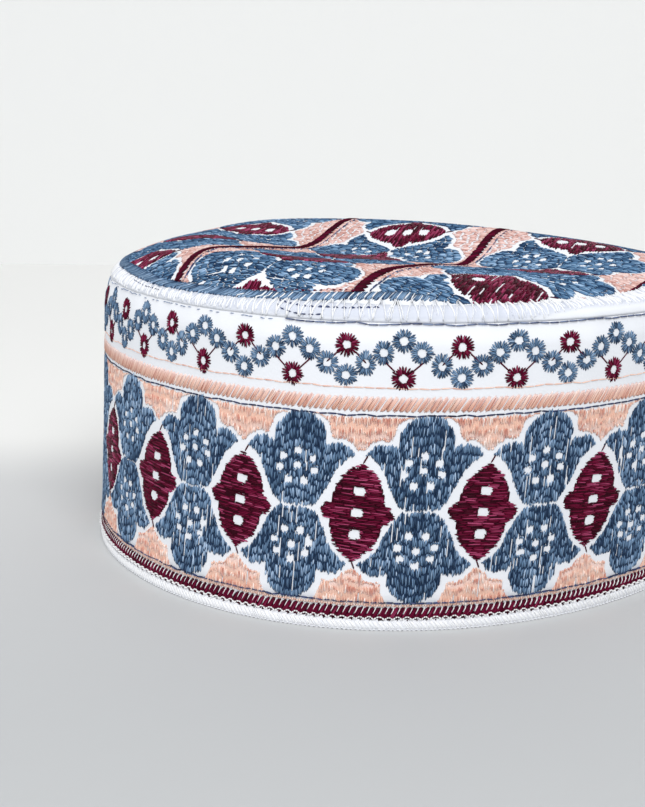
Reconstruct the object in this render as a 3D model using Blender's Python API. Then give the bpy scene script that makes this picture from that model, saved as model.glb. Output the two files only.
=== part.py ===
"""Embroidered prayer cap (kumma): an upright cloth band with a soft round crown sewn on top.

Metres, +Z up. The cap stands on its hem at Z = 0, its front faces -Y, and the origin is the
middle of its outline, at the hem. The band is one strip of stiffened cloth, so its girth is
the same at every height. Its outline is nearly round at the hem and slightly oval at the
crown. The crown is soft: a ridge runs across it, with hollows and swells beside the ridge.
"""

import math

import bmesh
import bpy

# Driving dimensions
GIRTH = 0.5718             # around the outside of the band, a head of about 57 cm
CLOTH = 0.0020             # stiffened cotton with its embroidery
GAP = 0.0003               # seam clearance between neighbouring pieces
HEM_HEIGHT = 0.0036        # overlocked edge that the cap stands on
HEM_BULGE = 0.0004         # how far the overlocked edge stands out of the band
HEM_CORNER = 0.0008        # rounding of the overlocked edge
BAND_TOP = 0.0780          # upper edge of the band
SHOULDER_DEPTH = 0.0049    # how far the rolled seam reaches in over the band
SHOULDER_RISE = 0.0030     # height of the rolled seam

# Outline of the band seen from above, as shares of its mean radius
RIM_OVAL = -0.0155         # at the hem; below zero it is wider across the long axis
CROWN_OVAL = 0.0465        # at OUTLINE_HEIGHT
SQUARENESS = -0.0099
LONG_AXIS = -0.9714        # direction of the crown's long axis, in radians from +X
OUTLINE_HEIGHT = 0.0850    # height at which CROWN_OVAL is given

# Relief of the crown above its edge
DOME_RISE = 0.0045         # general rise inside the edge
SHOULDER_POWER = 9         # how suddenly the crown rises from its edge
# Each swell: rise, middle x, middle y, direction in radians, half length and half width
SWELLS = {
    "diagonal_ridge":   (0.0093, 0.0382, -0.0128, -0.66, 0.079, 0.014),
    "left_fold":        (0.0031, -0.0567, -0.0318, -1.45, 0.080, 0.014),
    "front_left_swell": (0.0043, -0.0620, -0.0578, -0.25, 0.045, 0.014),
    "front_hollow":     (-0.0080, 0.0489, -0.0295, -0.51, 0.056, 0.014),
}

# Fineness of the faceted solids
TURN_STEPS = 72
GIRTH_STEPS = 360
ARC_STEPS = 5
CORNER_STEPS = 2
BAND_LEVELS = 4
# Rings of the crown as shares of its radius, closer together at the edge
CROWN_RINGS = [0.08, 0.16, 0.24, 0.32, 0.40, 0.48, 0.56, 0.64, 0.72, 0.80, 0.87, 0.93, 0.97, 1.0]

BAND_FOOT = HEM_HEIGHT + GAP
SHOULDER_FOOT = BAND_TOP + GAP
CROWN_INSET = SHOULDER_DEPTH + GAP
CROWN_EDGE = SHOULDER_FOOT + SHOULDER_RISE


def outline_share(turn, oval):
    """Radius of the outline as a share of its mean, in the direction turn."""
    angle = turn - LONG_AXIS
    return 1 + oval * math.cos(2 * angle) + SQUARENESS * math.cos(4 * angle)


def mean_radius(oval):
    """Mean radius that gives the outline the cap's girth."""
    length = 0.0
    for step in range(GIRTH_STEPS):
        ends = []
        for turn in (step, step + 1):
            angle = 2 * math.pi * turn / GIRTH_STEPS
            radius = outline_share(angle, oval)
            ends.append((radius * math.cos(angle), radius * math.sin(angle)))
        length += math.dist(*ends)
    return GIRTH / length


RIM_RADIUS = mean_radius(RIM_OVAL)
CROWN_RADIUS = mean_radius(CROWN_OVAL)


def wall_point(turn, height, inset):
    """Point on the cap's wall at a height, moved in by inset."""
    share = height / OUTLINE_HEIGHT
    rim = RIM_RADIUS * outline_share(turn, RIM_OVAL)
    crown = CROWN_RADIUS * outline_share(turn, CROWN_OVAL)
    radius = rim + (crown - rim) * share - inset
    return radius * math.cos(turn), radius * math.sin(turn), height


def crown_relief(x, y, share):
    """Rise of the crown above its edge."""
    rise = DOME_RISE
    for height, middle_x, middle_y, direction, half_length, half_width in SWELLS.values():
        dx = x - middle_x
        dy = y - middle_y
        along = dx * math.cos(direction) + dy * math.sin(direction)
        across = dy * math.cos(direction) - dx * math.sin(direction)
        rise += height * math.exp(-(along / half_length) ** 2 / 2 - (across / half_width) ** 2 / 2)
    return rise * (1 - share ** SHOULDER_POWER)


def crown_point(turn, share, drop):
    """Point of the crown at a share of its radius, drop below its upper face."""
    edge_x, edge_y, edge_height = wall_point(turn, CROWN_EDGE, CROWN_INSET)
    x = share * edge_x
    y = share * edge_y
    return x, y, edge_height + crown_relief(x, y, share) - drop


def plain_material(name, color, roughness):
    """Principled material of one colour."""
    material = bpy.data.materials.new(name)
    material.use_nodes = True
    shader = material.node_tree.nodes["Principled BSDF"]
    shader.inputs["Base Color"].default_value = (*color, 1.0)
    shader.inputs["Roughness"].default_value = roughness
    shader.inputs["Metallic"].default_value = 0.0
    return material


def finish_object(name, mesh_data, material):
    """Turn a bmesh into a smooth object with outward faces."""
    bmesh.ops.recalc_face_normals(mesh_data, faces=mesh_data.faces)
    mesh = bpy.data.meshes.new(name)
    mesh_data.to_mesh(mesh)
    mesh_data.free()
    mesh.shade_smooth()
    mesh.set_sharp_from_angle(angle=math.radians(40))
    mesh.materials.append(material)
    piece = bpy.data.objects.new(name, mesh)
    bpy.context.collection.objects.link(piece)
    return piece


def swept_ring(name, section, material):
    """Closed ring: a section of (inset, height) points carried round the outline."""
    mesh_data = bmesh.new()
    loops = []
    for step in range(TURN_STEPS):
        turn = 2 * math.pi * step / TURN_STEPS
        loops.append([mesh_data.verts.new(wall_point(turn, height, inset))
                      for inset, height in section])
    for step, loop in enumerate(loops):
        after = loops[(step + 1) % TURN_STEPS]
        for index in range(len(section)):
            follow = (index + 1) % len(section)
            mesh_data.faces.new((loop[index], after[index], after[follow], loop[follow]))
    return finish_object(name, mesh_data, material)


def corner_points(inset, height, start, radius):
    """Quarter round from the direction start, in degrees, about a corner's centre."""
    points = []
    for step in range(CORNER_STEPS + 1):
        angle = math.radians(start + 90 * step / CORNER_STEPS)
        points.append((inset + radius * math.cos(angle), height + radius * math.sin(angle)))
    return points


def hem_section():
    """Rounded section of the overlocked edge, flat below and above."""
    outer = -HEM_BULGE + HEM_CORNER
    inner = CLOTH + HEM_BULGE - HEM_CORNER
    low = HEM_CORNER
    high = HEM_HEIGHT - HEM_CORNER
    return (corner_points(inner, high, 0, HEM_CORNER) + corner_points(outer, high, 90, HEM_CORNER)
            + corner_points(outer, low, 180, HEM_CORNER) + corner_points(inner, low, 270, HEM_CORNER))


def band_section():
    """Upright section of the band, with a few levels so that the wall can lean."""
    heights = [BAND_FOOT + (BAND_TOP - BAND_FOOT) * level / BAND_LEVELS
               for level in range(BAND_LEVELS + 1)]
    outside = [(0.0, height) for height in heights]
    inside = [(CLOTH, height) for height in reversed(heights)]
    return outside + inside


def seam_section():
    """Rolled seam: a quarter round that turns the band's edge in to meet the crown."""
    section = []
    for step in range(ARC_STEPS + 1):
        angle = math.pi / 2 * step / ARC_STEPS
        inset = SHOULDER_DEPTH - SHOULDER_DEPTH * math.cos(angle)
        section.append((inset, SHOULDER_FOOT + SHOULDER_RISE * math.sin(angle)))
    for step in reversed(range(ARC_STEPS + 1)):
        angle = math.pi / 2 * step / ARC_STEPS
        inset = SHOULDER_DEPTH - (SHOULDER_DEPTH - CLOTH) * math.cos(angle)
        section.append((inset, SHOULDER_FOOT + (SHOULDER_RISE - CLOTH) * math.sin(angle)))
    return section


def crown_disc(name, material):
    """Closed soft disc of the crown, one cloth thick."""
    mesh_data = bmesh.new()
    faces = []
    for drop in (0.0, CLOTH):
        middle = mesh_data.verts.new(crown_point(0.0, 0.0, drop))
        rings = []
        for share in CROWN_RINGS:
            turns = [2 * math.pi * step / TURN_STEPS for step in range(TURN_STEPS)]
            rings.append([mesh_data.verts.new(crown_point(turn, share, drop)) for turn in turns])
        faces.append((middle, rings))
    for middle, rings in faces:
        for step in range(TURN_STEPS):
            follow = (step + 1) % TURN_STEPS
            mesh_data.faces.new((middle, rings[0][step], rings[0][follow]))
            for inner, outer in zip(rings, rings[1:]):
                mesh_data.faces.new((inner[step], outer[step], outer[follow], inner[follow]))
    upper = faces[0][1][-1]
    lower = faces[1][1][-1]
    for step in range(TURN_STEPS):
        follow = (step + 1) % TURN_STEPS
        mesh_data.faces.new((upper[step], lower[step], lower[follow], upper[follow]))
    return finish_object(name, mesh_data, material)


def build_cap():
    """The four sewn pieces, from the hem up."""
    white = plain_material("white_cotton", (0.82, 0.84, 0.90), 0.85)
    overlock = plain_material("white_overlock", (0.86, 0.87, 0.92), 0.80)
    band_cloth = plain_material("band_embroidery", (0.10, 0.17, 0.31), 0.60)
    crown_cloth = plain_material("crown_embroidery", (0.09, 0.16, 0.29), 0.60)
    swept_ring("hem", hem_section(), overlock)
    swept_ring("side_band", band_section(), band_cloth)
    swept_ring("crown_seam", seam_section(), white)
    crown_disc("top_panel", crown_cloth)


for leftover in list(bpy.data.objects):
    bpy.data.objects.remove(leftover, do_unlink=True)
build_cap()
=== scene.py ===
"""Looks of an embroidered prayer cap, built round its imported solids.

Lengths are millimetres until a mesh is made. The band's pattern is laid out flat: u runs round
the cap from the middle of its front towards +X, and v runs up the band, over the rolled seam
and on to the crown. The crown's strips are laid out flat too, seen from above. Every stitch is
a small closed thread that lies on the cloth.
"""

import functools
import math

import bpy
import numpy as np
from mathutils import Matrix, Vector


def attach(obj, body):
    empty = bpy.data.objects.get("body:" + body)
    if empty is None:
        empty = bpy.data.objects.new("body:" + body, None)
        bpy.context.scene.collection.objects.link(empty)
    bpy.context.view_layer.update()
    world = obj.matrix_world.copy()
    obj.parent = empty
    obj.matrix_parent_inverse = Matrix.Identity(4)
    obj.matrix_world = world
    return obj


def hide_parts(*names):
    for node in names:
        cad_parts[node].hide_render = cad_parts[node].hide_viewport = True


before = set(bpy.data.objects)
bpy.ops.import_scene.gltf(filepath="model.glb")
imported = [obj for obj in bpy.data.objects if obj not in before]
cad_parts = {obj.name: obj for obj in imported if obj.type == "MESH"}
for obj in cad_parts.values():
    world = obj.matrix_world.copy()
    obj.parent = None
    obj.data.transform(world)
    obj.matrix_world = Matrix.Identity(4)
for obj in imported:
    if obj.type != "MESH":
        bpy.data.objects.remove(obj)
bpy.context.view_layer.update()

MM = 0.001
SEED = 5069

# Form of the cap, as in its solids
GIRTH = 571.8
CLOTH = 2.0
GAP = 0.3
HEM_HEIGHT = 3.6
HEM_BULGE = 0.4
HEM_CORNER = 0.8
BAND_TOP = 78.0
SHOULDER_DEPTH = 4.9
SHOULDER_RISE = 3.0
RIM_OVAL = -0.0155
CROWN_OVAL = 0.0465
SQUARENESS = -0.0099
LONG_AXIS = -0.9714
OUTLINE_HEIGHT = 85.0
DOME_RISE = 4.5
SHOULDER_POWER = 9
# Rise, middle x, middle y, direction in radians, half length and half width
SWELLS = [
    (9.3, 38.2, -12.8, -0.66, 79.0, 14.0),
    (3.1, -56.7, -31.8, -1.45, 80.0, 14.0),
    (4.3, -62.0, -57.8, -0.25, 45.0, 14.0),
    (-8.0, 48.9, -29.5, -0.51, 56.0, 14.0),
]
SHOULDER_FOOT = BAND_TOP + GAP
CROWN_INSET = SHOULDER_DEPTH + GAP
CROWN_EDGE = SHOULDER_FOOT + SHOULDER_RISE
FRONT = -math.pi / 2
FULL_TURN = 2 * math.pi
TABLE_STEPS = 1440
ARC_STEPS = 24

# Groups of threads in the rope round the band
ROPE_GROUPS = 379

# Levels of the band's pattern
ROPE = (2.8, 6.6)
LOWER_NAVY_LINE = 7.45
NECK = 31.3
UPPER_NAVY_LINE = 55.3
LOWER_SATIN = (5.9, 7.5)
UPPER_SATIN = (55.9, 60.2)
PEACH_LINE = 62.0
TOP_LINE = 77.4
ALMOND_CENTRE = 30.6

# Repeats round the band
FLOWERS = 18
FLOWER_PITCH = GIRTH / FLOWERS
FIRST_FLOWER = -87.65
RING_REPEATS = 21
RING_PITCH = GIRTH / RING_REPEATS
FIRST_RING = -94.2

# Span of a line all round the cap
ROUND = (0, GIRTH)

# Distance between neighbouring threads, their widths, their rise and how far they zigzag
THREAD_PITCH = 0.42
THREAD_WIDTH = 0.48
PEACH_WIDTH = 0.46
CROWN_WIDTH = 0.52
THREAD_RISE = 0.34
ZIGZAG = 0.09
# Levels of a thread's lower edges and of its tips over the cloth
THREAD_FOOT = 0.02
THREAD_SINK = -0.06
# Lengths over which a thread narrows at its start and at its end
TAPERS = (0.7, 0.7)
SPIKE_TAPERS = (0.2, 0.55)
LONGEST_TAPER = 0.4
# Length of a stitch in a row, how far stitches overlap at their joints, and the shortest one
ROW = 2.5
JOINT_OVERLAP = 0.4
SHORTEST = 0.9
# Threads under the stitches, so that the cloth doesn't show between them, darkest in tone as painted shade
UNDERLAY_WIDTH = 0.58
UNDERLAY_RISE = 0.12
UNDERLAY_SHADE_TONE = -0.2

# Outline of a flower's half, from its middle line: x and height above the neck
DOME_RADIUS = 6.85
DOME_CENTRE = 17.6
FLOWER_LOBE = [(6.85, 16.3), (7.8, 16.8), (8.7, 17.0), (10.6, 17.25), (12.1, 16.85), (13.3, 15.85),
               (14.2, 14.7), (14.6, 13.8)]
FLOWER_UNDERSIDE = [(0.0, -0.25), (4.3, -0.05), (5.4, 0.8), (6.2, 1.85), (7.0, 3.35), (7.9, 5.15),
                    (8.7, 6.65), (9.4, 8.45), (10.4, 10.25), (11.6, 11.45), (13.0, 12.75), (14.6, 13.7)]
FLOWER_DOTS = [(0.0, 14.05), (3.8, 12.25), (-4.1, 12.25), (0.0, 10.25), (4.45, 9.35), (-4.8, 9.35),
               (1.9, 6.45), (-2.2, 6.45)]
# Half width and half height of the dots
FLOWER_DOT = (1.05, 0.62)
CROWN_FLOWER_DOT = (1.15, 0.7)
# Edge of the peach ground towards the flowers: x from a flower's middle and height above the neck
UPPER_PEACH = [(3.4, 23.85), (4.9, 23.3), (6.6, 22.4), (7.6, 21.2), (8.0, 19.2), (8.7, 17.6),
               (11.6, 17.4), (12.8, 17.0), (13.8, 16.2), (14.8, 15.3), (15.9, 14.7)]
LOWER_PEACH = [(5.3, 24.9), (6.4, 23.8), (7.4, 22.3), (8.2, 20.6), (8.4, 18.6), (11.0, 18.3), (12.4, 17.8),
               (13.4, 16.6), (15.0, 15.2), (15.9, 15.0)]
UPPER_PEACH_TOP = 23.75
LOWER_PEACH_TOP = 24.8
# Length of a peach stitch, and the gap at its joints as an overlap below zero
PEACH_ROW = 2.6
PEACH_OVERLAP = -0.13

# Almond
ALMOND_HALF = 12.85
ALMOND_WIDTH = 6.75
ALMOND_NOSE = 2.7
ALMOND_NOSE_HALF = 2.6
ALMOND_DOTS = [(-5.6, 0.0), (0.0, 0.0), (5.6, 0.0)]
ALMOND_DOT = (1.35, 1.1)
CROWN_ALMOND_DOT = (1.8, 1.5)
ALMOND_TILT = math.radians(4)
ALMOND_LEAN = math.radians(2)
ALMOND_SHIFT = 0.2
# Lean of the rows of flowers and almonds, and the level that it turns about
SHEAR = 0.075
SHEAR_LEVEL = 55.0
# Distance round the cap, and how far the flowers and the rings lie off their even spacing there
DRIFT = [(-100.0, 0.6, 0.0), (-40.0, 0.75, 0.0), (-25.0, 0.72, 0.15), (6.0, 0.27, 0.45),
         (38.0, -0.43, 0.8), (60.0, -0.5, 1.0), (200.0, 0.3, 0.5), (400.0, 0.6, 0.0)]

# Crown strips: direction of the strips, ropes across them and repeats along them
STRIP_TURN = 0.448
STRIP_PITCH = 55.4
FIRST_ROPE = -84.3
ROPES = 4
STRIP_REPEAT = 31.8
FIRST_ALMOND = -87.5
# How far the lines run along a strip
STRIP_SPAN = (-100, 100)
# The crown's x and y from the distances along a strip and across it, and the other way round
STRIP_AXES = np.array([[math.sin(STRIP_TURN), math.cos(STRIP_TURN)],
                       [math.cos(STRIP_TURN), -math.sin(STRIP_TURN)]])
# Farthest middles of flowers and almonds from the crown's middle
FLOWER_REACH = 112
ALMOND_REACH = 105
# Edge of the crown's peach ground, as on the band
CROWN_PEACH = [(0.0, 25.2), (2.0, 25.1), (3.5, 24.2), (4.6, 23.2), (6.4, 22.1), (7.6, 21.0), (8.0, 19.4),
               (8.7, 18.4), (11.6, 18.1), (12.8, 17.6), (13.8, 16.6), (14.8, 15.6), (15.9, 15.1)]
CROWN_PEACH_TOP = 26.6
# Strip and number of an almond of the crown that differs: its shift along the strip, its far
# and its near side as shares of their full width, and its dots
CROWN_ALMONDS = {
    (1, 0): (0.6, 0.82, 1.0, ALMOND_DOTS[:0]),
    (1, 1): (0.0, 1.5, 1.3, ALMOND_DOTS),
    (1, 2): (0.0, 2.0, 1.5, ALMOND_DOTS),
    (2, 1): (0.3, 1.0, 1.9, ALMOND_DOTS[:1]),
}
ALMOND_MARGIN = 1.3
# Strip and number of the crown's flower that has no white dots, and of those that reach down
# round a smaller almond
PLAIN_FLOWER = (2, 0)
DEEP_FLOWERS = [(1, -1), (1, 0)]
DEEP_SHARE = 0.6

# Direction in degrees, where the pattern begins above the crown's edge, and the border's width
CROWN_RIM = [
    (-90.0, 1.2, 1.0), (-85.0, 1.2, 0.6), (-82.0, 1.0, 0.0), (-77.0, 0.4, 0.0), (-71.0, 0.7, 0.0),
    (-66.0, 1.15, 0.0), (-56.0, 1.2, 0.0), (-50.0, 2.0, 0.0), (-46.0, 2.6, 0.0), (-42.0, 2.9, 0.4),
    (-10.0, 2.6, 0.4), (0.0, 2.5, 0.0), (90.0, 1.0, 0.0), (120.0, 0.0, 1.0), (175.0, -1.5, 1.2),
    (188.0, -3.0, 1.2), (198.0, -2.7, 1.2), (211.0, -3.5, 1.2), (218.0, -4.1, 1.2), (224.0, -3.95, 1.22),
    (234.0, -3.6, 1.2), (243.0, -3.1, 1.18), (250.4, -1.3, 0.97), (254.0, -0.95, 0.9),
    (257.3, 0.0, 0.9), (262.0, 0.7, 0.92), (267.0, 1.15, 1.0),
]
# Blue border: its full width, the threads in a group, and the groups round the crown
BORDER_WIDTH = 4.0
BORDER_THREADS = 6
BORDER_GROUPS = 272
BORDER_GROUP = GIRTH / BORDER_GROUPS
# Directions in degrees: from where the border's groups stand apart and its line runs, and the
# middle and half of the part that white threads cross
BORDER_APART = 243.0
CROSSED_MIDDLE = 257.5
CROSSED_HALF = 16.5

# Loose running threads on the seam at the front left: distance round the cap and v
SEAM_MARKS = [
    [(-32.0, 83.2), (-27.5, 81.6), (-22.7, 81.0), (-17.0, 81.3), (-13.0, 81.2), (-4.5, 82.0)],
    [(-31.5, 81.5), (-30.0, 80.0), (-27.6, 79.3), (-24.0, 78.8), (-19.0, 79.0), (-17.0, 79.5)],
    [(-95.0, 80.6), (-85.0, 79.9), (-78.0, 79.9), (-74.5, 79.8)],
]
# The chain's rings in sixths of a repeat from a lower burgundy ring, and their levels
RING_CHAIN = [(-2, 67.6), (-1, 70.6), (0, 73.4), (1, 70.6), (2, 67.6), (3, 64.7)]
UPPER_RING = 72.3
LOWER_RING = 64.3
# Lengths of the overlock's loops on the hem, and the level where the upper ones begin
UPPER_LOOP = 2.33
UPPER_LOOP_FOOT = 2.95
LOWER_LOOP = 1.17
# Distance round the cap, and where the overlock over the seam ends below
OVERLOCK_FOOT = [(-140.0, 77.5), (30.0, 77.5), (46.0, 79.8), (150.0, 80.0), (250.0, 79.0), (400.0, 77.5)]
# Distance round the cap, and how open the overlock's zigzag is: one at the front
ZIGZAG_OPEN = [(-45, 0), (-30, 1), (25, 1), (45, 0)]

# Fineness of the cloth, and the step by which the direction of its face is measured
CLOTH_STEPS = 420
CLOTH_U = np.linspace(0, GIRTH, CLOTH_STEPS, endpoint=False)
CROWN_RINGS = 36
NORMAL_STEP = 0.2

# Stage, in metres: the greys of the floor by their depth behind the cap, lighter towards the back as painted
# light
FLOOR_NEAR = -0.16
FLOOR_BACK = 0.66
STAGE_HALF = 4.0
WALL_HEIGHT = 3.0
FLOOR_GREYS = {FLOOR_NEAR: (0.535, 0.545, 0.55), 0.02: (0.65, 0.655, 0.655),
               0.10: (0.90, 0.895, 0.875), FLOOR_BACK: (0.93, 0.925, 0.905)}
WALL_GREY = (0.843, 0.848, 0.838)

# Camera fitted to the photo: place in millimetres, and turns in radians
CAMERA_PLACE = (0.0, -385.93, 125.92)
CAMERA_PITCH = 0.2268
CAMERA_YAW = -0.0604
CAMERA_ROLL = 0.0038
CAMERA_LENS = 56.44
CAMERA_SENSOR = 36.0

# Light, in metres and watts: place, size and power of each lamp
LAMPS = {"key": ((0.35, -1.1, 1.15), 0.8, 13), "fill": ((-0.9, -0.9, 0.7), 0.9, 4.5)}
LIGHT_TARGET = (0, 0, 0.04)
WORLD_COLOR = (0.95, 0.97, 1.0)
WORLD_STRENGTH = 0.64


def columns(*values):
    """Values side by side as points or corners. Any of them may be one number."""
    return np.stack(np.broadcast_arrays(*values), axis=-1)


def looked_up(table, place, column=1, period=GIRTH):
    """Value at a place, from a table that begins again after a period."""
    values = np.array(table).T
    return np.interp(place, values[0], values[column], period=period)


def outline_share(turn, oval):
    """Radius of the outline as a share of its mean, in the direction turn."""
    angle = turn - LONG_AXIS
    return 1 + oval * np.cos(2 * angle) + SQUARENESS * np.cos(4 * angle)


def girth_table(oval):
    """Mean radius of an outline, and its directions at each distance round it from the front."""
    turn = FRONT + np.linspace(0, FULL_TURN, TABLE_STEPS + 1)
    radius = outline_share(turn, oval)
    x = radius * np.cos(turn)
    y = radius * np.sin(turn)
    length = np.concatenate([[0.0], np.cumsum(np.hypot(np.diff(x), np.diff(y)))])
    mean = GIRTH / length[-1]
    return mean, length * mean, turn


RIM_RADIUS, RIM_LENGTHS, TURNS = girth_table(RIM_OVAL)
CROWN_RADIUS, CROWN_LENGTHS, TURNS = girth_table(CROWN_OVAL)


def wall_radius(turn, height):
    """Radius of the outer face in a direction and at a height."""
    rim = RIM_RADIUS * outline_share(turn, RIM_OVAL)
    crown = CROWN_RADIUS * outline_share(turn, CROWN_OVAL)
    return rim + (crown - rim) * height / OUTLINE_HEIGHT


def turn_at(u, height):
    """Direction that lies the distance u round the cap from its front."""
    place = np.mod(u, GIRTH)
    rim = np.interp(place, RIM_LENGTHS, TURNS)
    crown = np.interp(place, CROWN_LENGTHS, TURNS)
    return rim + (crown - rim) * np.clip(height / OUTLINE_HEIGHT, 0, 1)


def crown_height(x, y):
    """Height of the crown's upper face."""
    turn = np.arctan2(y, x)
    share = np.clip(np.hypot(x, y) / crown_edge(turn), 0, 1)
    rise = DOME_RISE
    for height, middle_x, middle_y, direction, half_length, half_width in SWELLS:
        dx = x - middle_x
        dy = y - middle_y
        along = dx * math.cos(direction) + dy * math.sin(direction)
        across = dy * math.cos(direction) - dx * math.sin(direction)
        rise = rise + height * np.exp(-(along / half_length) ** 2 / 2 - (across / half_width) ** 2 / 2)
    return CROWN_EDGE + rise * (1 - share ** SHOULDER_POWER)


def crown_edge(turn):
    """Radius of the crown's edge in a direction."""
    return wall_radius(turn, CROWN_EDGE) - CROWN_INSET


def wall_profile():
    """Columns v, inset and height of the outer face, from the hem up to the crown's edge."""
    corner = HEM_CORNER * (1 - math.sqrt(0.5))
    rows = [
        (-1.0, 1.0, 0.02),
        (0.0, HEM_CORNER - HEM_BULGE, 0.02),
        (0.4, corner - HEM_BULGE, corner),
        (1.0, -HEM_BULGE, HEM_CORNER + 0.2),
        (HEM_HEIGHT - HEM_CORNER, -HEM_BULGE, HEM_HEIGHT - HEM_CORNER),
        (HEM_HEIGHT - corner, corner - HEM_BULGE, HEM_HEIGHT - corner),
        (HEM_HEIGHT + GAP, 0.0, HEM_HEIGHT + GAP),
        (SHOULDER_FOOT, 0.0, SHOULDER_FOOT),
    ]
    v = SHOULDER_FOOT
    previous = (0.0, SHOULDER_FOOT)
    for step in range(1, ARC_STEPS + 1):
        angle = math.pi / 2 * step / ARC_STEPS
        place = (SHOULDER_DEPTH * (1 - math.cos(angle)), SHOULDER_FOOT + SHOULDER_RISE * math.sin(angle))
        v += math.dist(previous, place)
        previous = place
        rows.append((v, *place))
    rows.append((v + GAP, CROWN_INSET, CROWN_EDGE))
    return np.array(rows).T


PROFILE_V, PROFILE_INSET, PROFILE_HEIGHT = wall_profile()
CROWN_START = PROFILE_V[-1]


def ripple(u, v):
    """Slight unevenness of the stiffened cloth, none at the hem."""
    fade = np.clip(v / 20, 0, 1)
    turn = FULL_TURN * u / GIRTH
    wrinkles = np.clip((v - 60) / 14, 0, 1) * (np.sin(83 * turn + v / 11) + np.sin(59 * turn - v / 15))
    return fade * (0.16 * np.sin(7 * turn + 0.8 + v / 31) + 0.10 * np.sin(17 * turn + v / 13)
                   + 0.06 * np.sin(41 * turn - v / 9) + 0.05 * wrinkles)


def shoulder_slump(turn, v):
    """How far the soft cloth under the seam falls in, most at the cap's left."""
    rising = np.clip((v - 69.0) / 10.5, 0, 1) ** 1.6
    falling = 1 - np.clip((v - 79.5) / (CROWN_START - 79.5), 0, 1) ** 2
    off_left = np.arctan2(np.sin(turn - math.pi), np.cos(turn - math.pi))
    return 2.3 * rising * falling * (0.2 + 0.8 * np.exp(-(off_left / 0.65) ** 2))


def wall_place(u, v):
    """Points of the cap's outer face, on the hem, the band, the rolled seam and the crown's rim."""
    height = np.interp(v, PROFILE_V, PROFILE_HEIGHT)
    beyond = np.maximum(v - CROWN_START, 0)
    inset = np.interp(v, PROFILE_V, PROFILE_INSET) + beyond
    turn = turn_at(u, height)
    radius = wall_radius(turn, height) - inset - shoulder_slump(turn, v)
    x = radius * np.cos(turn)
    y = radius * np.sin(turn)
    height = np.where(beyond > 0, crown_height(x, y), height)
    swell = np.where(beyond > 0, 0.0, ripple(u, v) * np.clip((CROWN_START - v) / 6, 0, 1))
    return columns(x + swell * np.cos(turn), y + swell * np.sin(turn), height)


def crown_place(x, y):
    """Points of the crown's upper face."""
    return columns(x, y, crown_height(x, y))


def lifted(place, a, b, lift):
    """Points at a height lift over the face that place describes."""
    along = place(a + NORMAL_STEP, b) - place(a - NORMAL_STEP, b)
    across = place(a, b + NORMAL_STEP) - place(a, b - NORMAL_STEP)
    normal = np.cross(along, across)
    normal /= np.linalg.norm(normal, axis=-1, keepdims=True)
    return place(a, b) + normal * np.asarray(lift)[..., None]


class Threads:
    """Stitches of one piece: ends on the flat pattern, width, rise and tone."""

    def __init__(self):
        self.parts = []

    def add(self, start, end, width, rise, tone):
        looks = [np.broadcast_to(value, len(start)) for value in (width, rise, tone)]
        self.parts.append((start, end, *looks))

    def merged(self):
        return [np.concatenate(column) for column in zip(*self.parts)]

    def keep(self, chosen):
        self.parts = [[column[chosen] for column in self.merged()]]


def mesh_from_arrays(name, points, triangles):
    """Mesh of triangles from arrays, in metres."""
    mesh = bpy.data.meshes.new(name)
    count = len(triangles)
    mesh.vertices.add(len(points))
    mesh.vertices.foreach_set("co", (points * MM).astype(np.float32).ravel())
    mesh.loops.add(count * 3)
    mesh.loops.foreach_set("vertex_index", triangles.astype(np.int32).ravel())
    mesh.polygons.add(count)
    mesh.polygons.foreach_set("loop_start", np.arange(count, dtype=np.int32) * 3)
    mesh.update()
    mesh.validate()
    mesh.shade_smooth()
    return mesh


def add_flat_map(mesh, name, flat):
    """UV map that lays the piece out as its flat pattern."""
    corners = np.empty(len(mesh.loops), np.int32)
    mesh.loops.foreach_get("vertex_index", corners)
    low = flat.min(axis=0)
    places = (flat[corners] - low) / (flat.max(axis=0) - low)
    mesh.uv_layers.new(name=name).data.foreach_set("uv", places.astype(np.float32).ravel())


def add_values(mesh, name, values):
    """Values at a mesh's points, for its material."""
    attribute = mesh.attributes.new(name, "FLOAT", "POINT")
    attribute.data.foreach_set("value", values.astype(np.float32))


def add_object(name, data, material=None):
    """Object in the scene from its mesh, lamp or camera."""
    if material:
        data.materials.append(material)
    piece = bpy.data.objects.new(name, data)
    bpy.context.scene.collection.objects.link(piece)
    return piece


def finish_piece(name, mesh, material, replaced=()):
    """Object from a mesh, riding on the cap's one body."""
    piece = add_object(name, mesh, material)
    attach(piece, "root")
    if replaced:
        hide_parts(*replaced)
    return piece


def thread_triangles(count, rings):
    """Corners of closed threads: a tip, rings of three points and a tip."""
    size = 3 * rings + 2
    last = size - 4
    pattern = []
    for side in range(3):
        follow = (side + 1) % 3
        pattern.append((0, 1 + side, 1 + follow))
        for near in range(1, last, 3):
            pattern.append((near + side, near + 3 + side, near + 3 + follow))
            pattern.append((near + side, near + 3 + follow, near + follow))
        pattern.append((size - 1, last + follow, last + side))
    starts = np.arange(count) * size
    return (np.array(pattern)[None] + starts[:, None, None]).reshape(-1, 3)


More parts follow.
